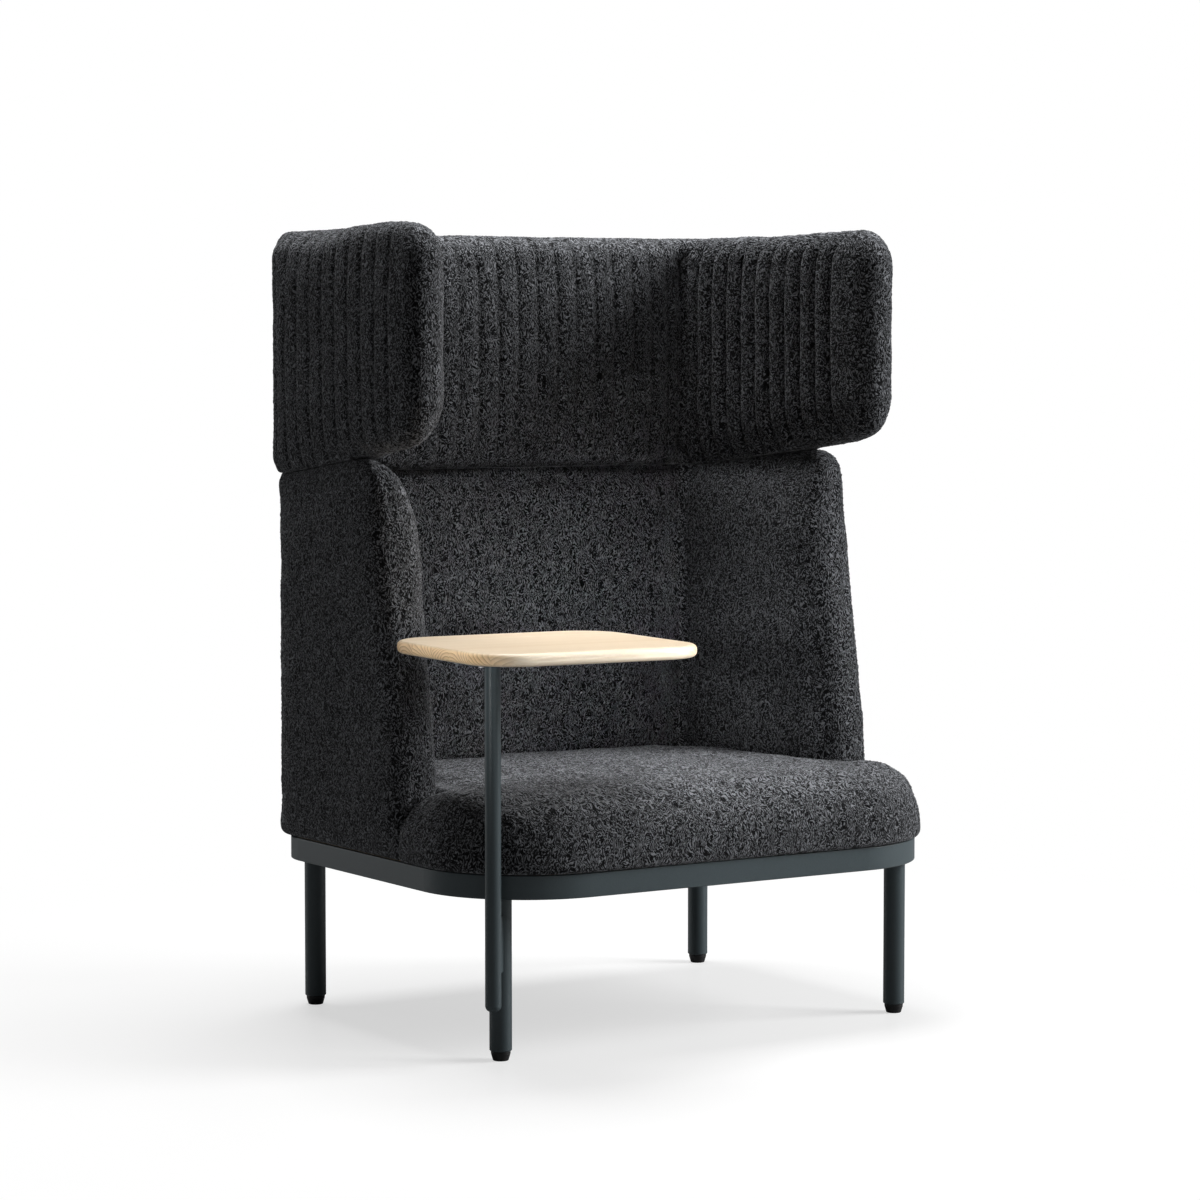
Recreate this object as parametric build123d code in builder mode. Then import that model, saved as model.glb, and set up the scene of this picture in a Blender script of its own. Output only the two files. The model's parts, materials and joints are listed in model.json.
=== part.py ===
from build123d import *
import os
from math import cos, radians, sin, tan

# Single-seat high-back lounge chair with a swivelling side table.
# Millimetres, +Z up. The chair faces -Y and the origin is on the floor, midway between the legs.

# Base band, plan and section
base_half_width = 456.0
base_front = 375.0
base_rear = 323.5
base_front_radius = 188.0
base_rear_radius = 97.0
band_bottom = 255.0
band_height = 38.0
band_wall = 10.0
band_edge_radius = 2.0

# Legs and glides
leg_diameter = 35.0
leg_wall = 3.0
leg_plug_length = 30.0
leg_end_chamfer = 1.5
front_leg_inset_x = 75.0
front_leg_inset_y = 81.0
rear_leg_inset_x = 68.0
rear_leg_inset_y = 29.5
glide_height = 15.0
glide_top_diameter = 30.5
glide_floor_diameter = 24.0
glide_collar = 4.0
glide_spigot_length = 20.0
glide_edge_radius = 1.5

# Steel inside the base
plate_thickness = 6.0
plate_margin = 34.0
rail_height = 24.0
rail_width = 40.0
rail_front_setback = 225.0
rail_rear_setback = 150.0
rail_wall = 2.0

# Seat deck, dust cover and seat cushion
deck_thickness = 15.0
deck_inset = 6.0
dust_cover_thickness = 1.2
seat_height = 412.0
seat_overhang = 10.0
seat_crown_radius = 7000.0
seat_crown_setback = 225.0
seat_roll_radius = 85.0
seat_tuck_radius = 9.0
ear_depth = 256.0

# Back shell: one wrap of back and arms
shell_overhang = 6.0
shell_rear_overhang = 29.0
shell_rear_radius = 100.0
shell_inner_radius = 22.0
shell_height = 600.0
shell_edge_radius = 16.0
shell_inner_edge_radius = 46.0
shell_tuck_radius = 9.0
back_thickness = 66.0
arm_front_thickness = 85.0
arm_rear_thickness = 112.0
arm_upright = 140.0
arm_lean = 80.0
arm_bend_radius = 700.0
shoulder_radius = 56.0
top_bend_setback = 88.0
top_bend_radius = 200.0
wing_rise_angle = 7.2

# Hood: upper wrap with wings and sewn channels
hood_overhang = 8.0
hood_rear_overhang = 11.0
hood_height = 399.0
hood_rear_radius = 108.0
hood_inner_radius = 12.0
hood_edge_radius = 26.0
hood_inner_edge_radius = 42.0
hood_back_thickness = 76.0
wing_tip_thickness = 70.0
wing_root_thickness = 118.0
wing_projection = 64.0
wing_top_radius = 56.0
wing_bottom_radius = 88.0
channel_pitch = 38.4
channel_radius = 7.0
channel_depth = 3.5
wing_channels = 10
outer_channel_depth = 2.0
outer_channel_margin = 72.0
outer_channels = 42
parting_gap = 0.6

# Plywood boards and their screws
board_thickness = 15.0
board_front_cover = 13.0
arm_board_cover = 49.0
arm_board_front_cover = 40.0
arm_board_top_cover = 110.0
arm_board_lean = 38.0
wing_board_cover = 40.0
wing_board_front_cover = 55.0
wing_board_corner = 40.0
hood_board_cover = 32.0
screw_diameter = 6.0
screw_length = 60.0
screw_head_diameter = 11.0
screw_head_height = 4.0
screw_end_margin = 60.0

# Hood stays
stay_width = 40.0
stay_thickness = 6.0
stay_spread = 200.0
stay_lap = 220.0
stay_bolt_diameter = 8.0
stay_bolt_head_diameter = 14.0
stay_bolt_head_height = 4.0
stay_bolt_bite = 12.0
stay_bolt_inset = 30.0
stay_bolt_pitch = 120.0

# Hexagon bolts of the base
bolt_diameter = 10.0
bolt_bite = 22.0
bolt_head_across = 17.0
bolt_head_height = 6.5
deck_bolt_diameter = 6.0
deck_bolt_bite = 10.0
deck_bolt_head_diameter = 12.0
deck_bolt_head_height = 4.0
deck_bolt_x = 260.0

# Table post and its bracket
post_diameter = 25.0
post_wall = 2.0
post_reach = 60.0
post_bearing = 42.0
post_bottom = 86.0
post_dome_height = 14.0
post_dome_radius = 10.0
post_spigot_length = 16.0
bracket_bottom = 140.0
bracket_height = 90.0
bracket_thickness = 15.0
bracket_corner_radius = 3.0

# Table, its plate, spindle and bushes
table_height = 647.0
table_thickness = 20.0
table_length = 392.0
table_depth = 370.0
table_corner_radius = 80.0
table_edge_radius = 8.5
table_inset_x = 79.0
table_inset_y = 140.0
table_turn = -3.5
plate_side = 110.0
plate_corner_radius = 14.0
table_plate_thickness = 4.0
table_screw_spacing = 80.0
table_screw_diameter = 4.5
table_screw_head_diameter = 9.0
table_screw_head_height = 3.0
table_screw_bite = 13.0
spindle_diameter = 16.0
spindle_length = 150.0
bush_length = 22.0
bush_flange = 2.0
spindle_overrun = 5.0
spindle_chamfer = 1.5

# Clearances
running_clearance = 0.05
bearing_gap = 0.1
hole_clearance = 0.1
soft_clearance = 0.3
weld_gap = 0.1

# Heights and places worked out from the sizes above
band_top = band_bottom + band_height
seat_edge_drop = (base_half_width + seat_overhang) ** 2 / (2 * seat_crown_radius)
seat_edge_height = seat_height - band_top - seat_edge_drop
deck_top = band_top + deck_thickness
front_leg_x = base_half_width - front_leg_inset_x
front_leg_y = front_leg_inset_y - base_front
rear_leg_x = base_half_width - rear_leg_inset_x
rear_leg_y = base_rear - rear_leg_inset_y
leg_places = {
    "front_left": (-front_leg_x, front_leg_y),
    "front_right": (front_leg_x, front_leg_y),
    "rear_left": (-rear_leg_x, rear_leg_y),
    "rear_right": (rear_leg_x, rear_leg_y),
}
arm_front_y = ear_depth - base_front
shell_half_width = base_half_width + shell_overhang
shell_rear = base_rear + shell_rear_overhang
shell_inner_rear = shell_rear - back_thickness
shell_bottom = band_top + soft_clearance
shell_top = band_top + shell_height
hood_half_width = shell_half_width + hood_overhang
hood_rear = shell_rear + hood_rear_overhang
hood_inner_rear = hood_rear - hood_back_thickness
hood_bottom = shell_top + parting_gap
hood_top = hood_bottom + hood_height
wing_tip_y = arm_front_y - wing_projection
top_bend_y = shell_rear - top_bend_setback
wing_slope = tan(radians(wing_rise_angle))
post_x = -front_leg_x - post_reach * sin(radians(post_bearing))
post_y = front_leg_y - post_reach * cos(radians(post_bearing))
table_bottom = table_height - table_thickness
table_plate_bottom = table_bottom - table_plate_thickness
bush_top = table_plate_bottom - bearing_gap
post_top = bush_top - bush_flange
beyond = 60.0


def finish(part, name):
    """Label a finished piece and write it as its own file."""
    part.label = name
    export_step(part, f"parts/{name}.step")


def base_plan(inset, height):
    """Rounded outline of the base, drawn in by inset, at a height."""
    half_width = base_half_width - inset
    front = base_front - inset
    rear = base_rear - inset
    front_radius = base_front_radius - inset
    rear_radius = base_rear_radius - inset
    with BuildSketch(Plane.XY.offset(height)) as plan:
        with BuildLine():
            FilletPolyline(
                (-half_width, -front),
                (half_width, -front),
                (half_width, rear),
                (-half_width, rear),
                radius=[front_radius, front_radius, rear_radius, rear_radius],
                close=True,
            )
        make_face()
    return plan.sketch


def wrap_plan(
    half_width, rear, rear_radius, front, inner_front_x, inner_rear_x, inner_rear, inner_radius, height
):
    """U-shaped plan of an upholstered wrap, open towards the sitter."""
    with BuildSketch(Plane.XY.offset(height)) as plan:
        with BuildLine():
            FilletPolyline(
                (-half_width, front),
                (-half_width, rear),
                (half_width, rear),
                (half_width, front),
                (inner_front_x, front),
                (inner_rear_x, inner_rear),
                (-inner_rear_x, inner_rear),
                (-inner_front_x, front),
                radius=[0, rear_radius, rear_radius, 0, 0, inner_radius, inner_radius, 0],
                close=True,
            )
        make_face()
    return plan.sketch


def side_rim(part, front, inner_x, outer_x):
    """Edges round a wrap's sides between two distances from its middle, less its rear uprights."""
    between = part.edges().filter_by(lambda edge: inner_x < abs(edge.center().X) < outer_x)
    upright = between.filter_by(Axis.Z).filter_by(lambda edge: edge.center().Y > front + 1)
    return between - between.filter_by(Axis.X) - upright


os.makedirs("parts", exist_ok=True)

# Base band
with BuildPart() as base_band:
    extrude(base_plan(0, band_bottom), amount=band_height)
    outer_rims = base_band.faces().filter_by(Axis.Z).edges()
    fillet(outer_rims, radius=band_edge_radius)
    extrude(base_plan(band_wall, band_bottom), amount=band_height, mode=Mode.SUBTRACT)
finish(base_band.part, "base_band")

# Cross rails: rectangular tubes between the sides of the band
rail_top = band_top - dust_cover_thickness
rail_length = 2 * (base_half_width - band_wall - weld_gap)
rail_places = {
    "front": rail_front_setback - base_front,
    "rear": base_rear - rail_rear_setback,
}
for side, rail_y in rail_places.items():
    with BuildPart() as cross_rail:
        with BuildSketch(Plane.YZ.offset(-rail_length / 2)):
            with Locations((rail_y, rail_top - rail_height / 2)):
                RectangleRounded(rail_width, rail_height, rail_wall)
                Rectangle(rail_width - 2 * rail_wall, rail_height - 2 * rail_wall, mode=Mode.SUBTRACT)
        extrude(amount=rail_length)
        with BuildSketch(Plane.XY.offset(rail_top - rail_height)):
            with Locations((-deck_bolt_x, rail_y), (deck_bolt_x, rail_y)):
                Circle(deck_bolt_diameter / 2 + hole_clearance)
        extrude(amount=rail_height, mode=Mode.SUBTRACT)
    finish(cross_rail.part, f"cross_rail_{side}")

# Leg plates: corner gussets inside the band that the legs bolt to
with BuildPart() as leg_plates:
    extrude(base_plan(band_wall + weld_gap, band_bottom), amount=plate_thickness)
    inner_x = min(front_leg_x, rear_leg_x) - leg_diameter / 2 - plate_margin
    inner_front = front_leg_y + leg_diameter / 2 + plate_margin
    inner_rear = rear_leg_y - leg_diameter / 2 - plate_margin
    with BuildSketch(Plane.XY.offset(band_bottom)):
        Rectangle(2 * inner_x, 2 * (base_front + base_rear))
        with Locations((0, (inner_front + inner_rear) / 2)):
            Rectangle(2 * base_half_width, inner_rear - inner_front)
    extrude(amount=plate_thickness, mode=Mode.SUBTRACT)
    with BuildSketch(Plane.XY.offset(band_bottom)):
        with Locations(*leg_places.values()):
            Circle(bolt_diameter / 2 + hole_clearance)
    extrude(amount=plate_thickness, mode=Mode.SUBTRACT)
finish(leg_plates.part, "leg_plates")

# Legs: round tubes with a solid threaded end at the top
leg_radius = leg_diameter / 2
leg_bore = leg_radius - leg_wall
for corner, (leg_x, leg_y) in leg_places.items():
    with BuildPart() as leg:
        with BuildSketch(Plane.XY.offset(glide_height)):
            with Locations((leg_x, leg_y)):
                Circle(leg_radius)
        extrude(amount=band_bottom - glide_height)
        chamfer(leg.faces().sort_by(Axis.Z)[0].edges(), length=leg_end_chamfer)
        with BuildSketch(Plane.XY.offset(glide_height)):
            with Locations((leg_x, leg_y)):
                Circle(leg_bore)
        extrude(amount=band_bottom - glide_height - leg_plug_length, mode=Mode.SUBTRACT)
        with BuildSketch(Plane.XY.offset(band_bottom)):
            with Locations((leg_x, leg_y)):
                Circle(bolt_diameter / 2 + hole_clearance)
        extrude(amount=-leg_plug_length, mode=Mode.SUBTRACT)
    finish(leg.part, f"leg_{corner}")

    # Glide: tapered foot with a spigot in the tube
    with BuildPart() as glide:
        with BuildSketch(Plane(origin=(leg_x, leg_y, 0), x_dir=(1, 0, 0), z_dir=(0, -1, 0))):
            with BuildLine():
                Polyline(
                    (0, 0),
                    (glide_floor_diameter / 2, 0),
                    (glide_top_diameter / 2, glide_height - glide_collar),
                    (glide_top_diameter / 2, glide_height),
                    (leg_bore - hole_clearance, glide_height),
                    (leg_bore - hole_clearance, glide_height + glide_spigot_length),
                    (0, glide_height + glide_spigot_length),
                    close=True,
                )
            make_face()
        revolve(axis=Axis((leg_x, leg_y, 0), (0, 0, 1)))
        fillet(glide.faces().sort_by(Axis.Z)[0].edges(), radius=glide_edge_radius)
    finish(glide.part, f"glide_{corner}")

# Leg bolts: hexagon heads on the plates, shanks in the legs
with BuildPart() as leg_bolts:
    with BuildSketch(Plane.XY.offset(band_bottom + plate_thickness)):
        with Locations(*leg_places.values()):
            RegularPolygon(bolt_head_across / 2, 6, major_radius=False)
    extrude(amount=bolt_head_height)
    with BuildSketch(Plane.XY.offset(band_bottom + plate_thickness)):
        with Locations(*leg_places.values()):
            Circle(bolt_diameter / 2)
    extrude(amount=-plate_thickness - bolt_bite)
finish(leg_bolts.part, "leg_bolts")

# Places of the boards
arm_board_x = shell_half_width - arm_board_cover
board_rear_y = shell_inner_rear + board_front_cover + board_thickness
board_front_y = board_rear_y - board_thickness
arm_board_mid_x = arm_board_x - board_thickness / 2
wing_board_x = hood_half_width - wing_board_cover
wing_board_mid_x = wing_board_x - board_thickness / 2
arm_board_front = arm_front_y + arm_board_front_cover
arm_board_top = shell_top - arm_board_top_cover
back_board_top = shell_top - soft_clearance - shell_edge_radius
hood_board_bottom = hood_bottom + hood_board_cover
hood_board_top = hood_top - hood_board_cover
wing_board_front = wing_tip_y + wing_board_front_cover
wing_board_bottom = hood_bottom + wing_slope * (top_bend_y - wing_board_front) + hood_board_cover
arm_foot_places = [
    (sign * arm_board_mid_x, place)
    for sign in (-1, 1)
    for place in (arm_board_front + screw_end_margin, board_front_y - 2 * screw_end_margin)
]
back_screw_places = [
    (place, board_rear_y - board_thickness / 2)
    for place in (-stay_spread, 0, stay_spread)
]
arm_screw_places = [
    (sign * arm_board_mid_x, height)
    for sign in (-1, 1)
    for height in (deck_top + screw_end_margin, arm_board_top - screw_end_margin)
]
wing_screw_places = [
    (board_rear_y - board_thickness / 2, height)
    for height in (wing_board_bottom + screw_end_margin, hood_board_top - screw_end_margin)
]
stay_bottom = shell_top - stay_lap
stay_top = hood_bottom + stay_lap
stay_pocket_depth = stay_thickness + stay_bolt_head_height + soft_clearance
lower_stay_bolts = [
    (sign * stay_spread, stay_bottom + stay_bolt_inset + step)
    for sign in (-1, 1)
    for step in (0, stay_bolt_pitch)
]
upper_stay_bolts = [
    (sign * stay_spread, stay_top - stay_bolt_inset - step)
    for sign in (-1, 1)
    for step in (0, stay_bolt_pitch)
]
sides = {"left": -1, "right": 1}


def back_board_plan(half_width, grow, height):
    """Plan of an upright board across the back, grown by a clearance."""
    with BuildSketch(Plane.XY.offset(height)) as plan:
        with Locations((0, board_rear_y - board_thickness / 2)):
            Rectangle(2 * (half_width + grow), board_thickness + 2 * grow)
    return plan.sketch


def arm_board_profile(grow, place):
    """Side view of an arm board, grown by a clearance."""
    front = arm_board_front - grow
    top = arm_board_top + grow
    rear = board_front_y
    with BuildSketch(Plane.YZ.offset(place)) as profile:
        with BuildLine():
            Polyline(
                (front, deck_top),
                (front, band_top + arm_upright),
                (front + arm_board_lean, top),
                (rear, top),
                (rear, deck_top),
                close=True,
            )
        make_face()
    return profile.sketch


def wing_board_profile(grow, place):
    """Side view of a hood wing board, grown by a clearance."""
    front = wing_board_front - grow
    bottom = wing_board_bottom - grow
    top = hood_board_top + grow
    rear = board_rear_y + grow
    with BuildSketch(Plane.YZ.offset(place)) as profile:
        with BuildLine():
            FilletPolyline(
                (front, bottom),
                (front, top),
                (rear, top),
                (rear, bottom),
                radius=[wing_board_corner, wing_board_corner, 0, 0],
                close=True,
            )
        make_face()
    return profile.sketch


def stay_profile(grow, bottom, top):
    """Rear view of the two stays between two heights, grown by a clearance."""
    with BuildSketch(Plane.XZ.offset(-board_rear_y)) as profile:
        with Locations((-stay_spread, (bottom + top) / 2), (stay_spread, (bottom + top) / 2)):
            Rectangle(stay_width + 2 * grow, top - bottom + 2 * grow)
    return profile.sketch


# Seat deck: plywood on the band, with the board screws let in from below
with BuildPart() as seat_deck:
    extrude(base_plan(deck_inset, band_top), amount=deck_thickness)
    with BuildSketch(Plane.XY.offset(band_top)):
        with Locations(*arm_foot_places, *back_screw_places):
            Circle(screw_diameter / 2 + hole_clearance)
    extrude(amount=deck_thickness, mode=Mode.SUBTRACT)
    with BuildSketch(Plane.XY.offset(band_top)):
        with Locations(*arm_foot_places, *back_screw_places):
            Circle(screw_head_diameter / 2 + hole_clearance)
    extrude(amount=screw_head_height, mode=Mode.SUBTRACT)
    with BuildSketch(Plane.XY.offset(band_top)):
        with GridLocations(2 * deck_bolt_x, 1, 2, 1):
            with Locations((0, rail_places["front"]), (0, rail_places["rear"])):
                Circle(deck_bolt_diameter / 2 + hole_clearance)
    extrude(amount=deck_bolt_bite + hole_clearance, mode=Mode.SUBTRACT)
finish(seat_deck.part, "seat_deck")

# Dust cover: felt sheet under the deck, inside the band
with BuildPart() as dust_cover:
    extrude(base_plan(band_wall + soft_clearance, rail_top), amount=dust_cover_thickness)
    with BuildSketch(Plane.XY.offset(rail_top)):
        with GridLocations(2 * deck_bolt_x, 1, 2, 1):
            with Locations((0, rail_places["front"]), (0, rail_places["rear"])):
                Circle(deck_bolt_diameter / 2 + hole_clearance)
    extrude(amount=dust_cover_thickness, mode=Mode.SUBTRACT)
finish(dust_cover.part, "dust_cover")

# Deck bolts: up through the rails into the deck
with BuildPart() as deck_bolts:
    with BuildSketch(Plane.XY.offset(rail_top - rail_height)):
        with GridLocations(2 * deck_bolt_x, 1, 2, 1):
            with Locations((0, rail_places["front"]), (0, rail_places["rear"])):
                Circle(deck_bolt_head_diameter / 2)
    extrude(amount=-deck_bolt_head_height)
    with BuildSketch(Plane.XY.offset(rail_top - rail_height)):
        with GridLocations(2 * deck_bolt_x, 1, 2, 1):
            with Locations((0, rail_places["front"]), (0, rail_places["rear"])):
                Circle(deck_bolt_diameter / 2)
    extrude(amount=rail_height + dust_cover_thickness + deck_bolt_bite)
finish(deck_bolts.part, "deck_bolts")

# Back shell: side view of arms and back, cut through the wrap's plan
arm_inner_front_x = shell_half_width - arm_front_thickness
arm_inner_rear_x = shell_half_width - arm_rear_thickness
arm_taper = (arm_inner_front_x - arm_inner_rear_x) / (shell_inner_rear - arm_front_y)
shoulder_y = arm_front_y + arm_lean
shoulder_z = shell_top + wing_slope * (top_bend_y - shoulder_y)
with BuildPart() as back_shell:
    front = arm_front_y - beyond
    inner_front_x = arm_inner_front_x + arm_taper * beyond
    shell_plan = wrap_plan(
        shell_half_width, shell_rear, shell_rear_radius, front, inner_front_x,
        arm_inner_rear_x, shell_inner_rear, shell_inner_radius, shell_bottom,
    )
    extrude(shell_plan, amount=shell_height + hood_height)
    with BuildSketch(Plane.YZ):
        with BuildLine():
            FilletPolyline(
                (arm_front_y, shell_bottom),
                (arm_front_y, band_top + arm_upright),
                (shoulder_y, shoulder_z),
                (top_bend_y, shell_top),
                (shell_rear + beyond, shell_top),
                (shell_rear + beyond, shell_bottom),
                radius=[0, arm_bend_radius, shoulder_radius, top_bend_radius, 0, 0],
                close=True,
            )
        make_face()
    extrude(amount=shell_half_width + beyond, both=True, mode=Mode.INTERSECT)
    floor_edges = back_shell.faces().sort_by(Axis.Z)[0].edges()
    outer_rim = side_rim(back_shell.part, arm_front_y, shell_half_width - 1, shell_half_width + 1)
    fillet(outer_rim - floor_edges, radius=shell_edge_radius)
    floor_edges = back_shell.faces().sort_by(Axis.Z)[0].edges()
    inner_rim = side_rim(back_shell.part, arm_front_y, 0, shell_half_width - shell_edge_radius - 1)
    fillet(inner_rim - floor_edges, radius=shell_inner_edge_radius)
    rear_floor_edge = back_shell.faces().sort_by(Axis.Z)[0].edges().sort_by(Axis.Y)[-1]
    fillet(rear_floor_edge, radius=shell_tuck_radius)
    # Pockets for the deck, the boards and the stays
    extrude(base_plan(deck_inset - soft_clearance, shell_bottom), amount=deck_thickness, mode=Mode.SUBTRACT)
    back_pocket = back_board_plan(arm_board_x, soft_clearance, deck_top)
    extrude(back_pocket, amount=back_board_top - deck_top + soft_clearance, mode=Mode.SUBTRACT)
    for sign in (-1, 1):
        arm_pocket = arm_board_profile(soft_clearance, sign * arm_board_mid_x)
        extrude(arm_pocket, amount=board_thickness / 2 + soft_clearance, both=True, mode=Mode.SUBTRACT)
    stay_pocket = stay_profile(soft_clearance, stay_bottom, shell_top)
    extrude(stay_pocket, amount=-stay_pocket_depth, mode=Mode.SUBTRACT)
finish(back_shell.part, "back_shell")

# Back board: holes for the deck screws, the arm screws and the stay bolts
with BuildPart() as back_board:
    extrude(back_board_plan(arm_board_x, 0, deck_top), amount=back_board_top - deck_top)
    with BuildSketch(Plane.XY.offset(deck_top)):
        with Locations(*back_screw_places):
            Circle(screw_diameter / 2 + hole_clearance)
    extrude(amount=screw_length - deck_thickness + hole_clearance, mode=Mode.SUBTRACT)
    with BuildSketch(Plane.XZ.offset(-board_rear_y)):
        with Locations(*arm_screw_places):
            Circle(screw_diameter / 2 + hole_clearance)
    extrude(amount=board_thickness, mode=Mode.SUBTRACT)
    with BuildSketch(Plane.XZ.offset(-board_rear_y)):
        with Locations(*arm_screw_places):
            Circle(screw_head_diameter / 2 + hole_clearance)
    extrude(amount=screw_head_height, mode=Mode.SUBTRACT)
    with BuildSketch(Plane.XZ.offset(-board_rear_y)):
        with Locations(*lower_stay_bolts):
            Circle(stay_bolt_diameter / 2 + hole_clearance)
    extrude(amount=stay_bolt_bite + hole_clearance, mode=Mode.SUBTRACT)
finish(back_board.part, "back_board")

# Arm boards
for side, sign in sides.items():
    with BuildPart() as arm_board:
        profile = arm_board_profile(0, sign * arm_board_mid_x)
        extrude(profile, amount=board_thickness / 2, both=True)
        with BuildSketch(Plane.XY.offset(deck_top)):
            with Locations(*[place for place in arm_foot_places if place[0] * sign > 0]):
                Circle(screw_diameter / 2 + hole_clearance)
        extrude(amount=screw_length - deck_thickness + hole_clearance, mode=Mode.SUBTRACT)
        with BuildSketch(Plane.XZ.offset(-board_front_y)):
            with Locations(*[place for place in arm_screw_places if place[0] * sign > 0]):
                Circle(screw_diameter / 2 + hole_clearance)
        extrude(amount=screw_length - board_thickness + hole_clearance, mode=Mode.SUBTRACT)
    finish(arm_board.part, f"arm_board_{side}")

# Deck screws: up through the deck into the boards
with BuildPart() as deck_screws:
    with BuildSketch(Plane.XY.offset(band_top)):
        with Locations(*arm_foot_places, *back_screw_places):
            Circle(screw_head_diameter / 2)
    extrude(amount=screw_head_height)
    with BuildSketch(Plane.XY.offset(band_top)):
        with Locations(*arm_foot_places, *back_screw_places):
            Circle(screw_diameter / 2)
    extrude(amount=screw_length)
finish(deck_screws.part, "deck_screws")

# Arm screws: through the back board into the rear edges of the arm boards
with BuildPart() as arm_screws:
    with BuildSketch(Plane.XZ.offset(-board_rear_y)):
        with Locations(*arm_screw_places):
            Circle(screw_head_diameter / 2)
    extrude(amount=screw_head_height)
    with BuildSketch(Plane.XZ.offset(-board_rear_y)):
        with Locations(*arm_screw_places):
            Circle(screw_diameter / 2)
    extrude(amount=screw_length)
finish(arm_screws.part, "arm_screws")

# Seat cushion: T-shaped pad with a crowned top, a rolled front and a tucked lower edge
ear_rear = arm_front_y - soft_clearance
cushion_front_x = arm_inner_front_x - soft_clearance
cushion_rear_x = arm_inner_rear_x - soft_clearance
cushion_rear = shell_inner_rear - soft_clearance
with BuildPart() as seat_cushion:
    extrude(base_plan(-seat_overhang, shell_bottom), amount=seat_height - shell_bottom)
    with BuildSketch(Plane.XY.offset(shell_bottom)):
        with BuildLine():
            FilletPolyline(
                (-base_half_width - beyond, -base_front - beyond),
                (base_half_width + beyond, -base_front - beyond),
                (base_half_width + beyond, ear_rear),
                (cushion_front_x, ear_rear),
                (cushion_rear_x, cushion_rear),
                (-cushion_rear_x, cushion_rear),
                (-cushion_front_x, ear_rear),
                (-base_half_width - beyond, ear_rear),
                radius=[0, 0, 0, 0, shell_inner_radius, shell_inner_radius, 0, 0],
                close=True,
            )
        make_face()
    extrude(amount=seat_height, mode=Mode.INTERSECT)
    with Locations((0, seat_crown_setback - base_front, seat_height - seat_crown_radius)):
        Sphere(seat_crown_radius, mode=Mode.INTERSECT)
    in_front = (-base_front - beyond, ear_rear - 1)
    top_edges = seat_cushion.faces().sort_by(Axis.Z)[-1].edges()
    seat_roll = min(seat_roll_radius, seat_edge_height - 2 * seat_tuck_radius)
    fillet(top_edges.filter_by_position(Axis.Y, *in_front), radius=seat_roll)
    floor_edges = seat_cushion.faces().sort_by(Axis.Z)[0].edges()
    fillet(floor_edges.filter_by_position(Axis.Y, *in_front), radius=seat_tuck_radius)
    extrude(base_plan(deck_inset - soft_clearance, shell_bottom), amount=deck_thickness, mode=Mode.SUBTRACT)
finish(seat_cushion.part, "seat_cushion")

# Hood: side view of back and wings, cut through the wrap's plan, with channels down its inner face
wing_inner_front_x = hood_half_width - wing_tip_thickness
wing_inner_rear_x = hood_half_width - wing_root_thickness
wing_taper = (wing_inner_front_x - wing_inner_rear_x) / (hood_inner_rear - wing_tip_y)
wing_run = Vector(wing_inner_front_x - wing_inner_rear_x, wing_tip_y - hood_inner_rear).normalized()
channel_offset = channel_radius - channel_depth
back_channels = round(2 * wing_inner_rear_x / channel_pitch)
back_pitch = 2 * wing_inner_rear_x / back_channels
channel_places = [
    (i * back_pitch - wing_inner_rear_x, hood_inner_rear - channel_offset)
    for i in range(1, back_channels)
]
for i in range(1, wing_channels + 1):
    channel_x = wing_inner_rear_x + wing_run.X * i * channel_pitch + wing_run.Y * channel_offset
    channel_y = hood_inner_rear + wing_run.Y * i * channel_pitch - wing_run.X * channel_offset
    channel_places += [(-channel_x, channel_y), (channel_x, channel_y)]
outer_offset = channel_radius - outer_channel_depth
with BuildLine() as outer_path:
    FilletPolyline(
        (-hood_half_width - outer_offset, wing_tip_y),
        (-hood_half_width - outer_offset, hood_rear + outer_offset),
        (hood_half_width + outer_offset, hood_rear + outer_offset),
        (hood_half_width + outer_offset, wing_tip_y),
        radius=hood_rear_radius + outer_offset,
    )
outer_run = outer_path.wire().length
outer_pitch = (outer_run - 2 * outer_channel_margin) / outer_channels
outer_places = [
    outer_path.wire().position_at((outer_channel_margin + i * outer_pitch) / outer_run)
    for i in range(outer_channels + 1)
]
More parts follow.
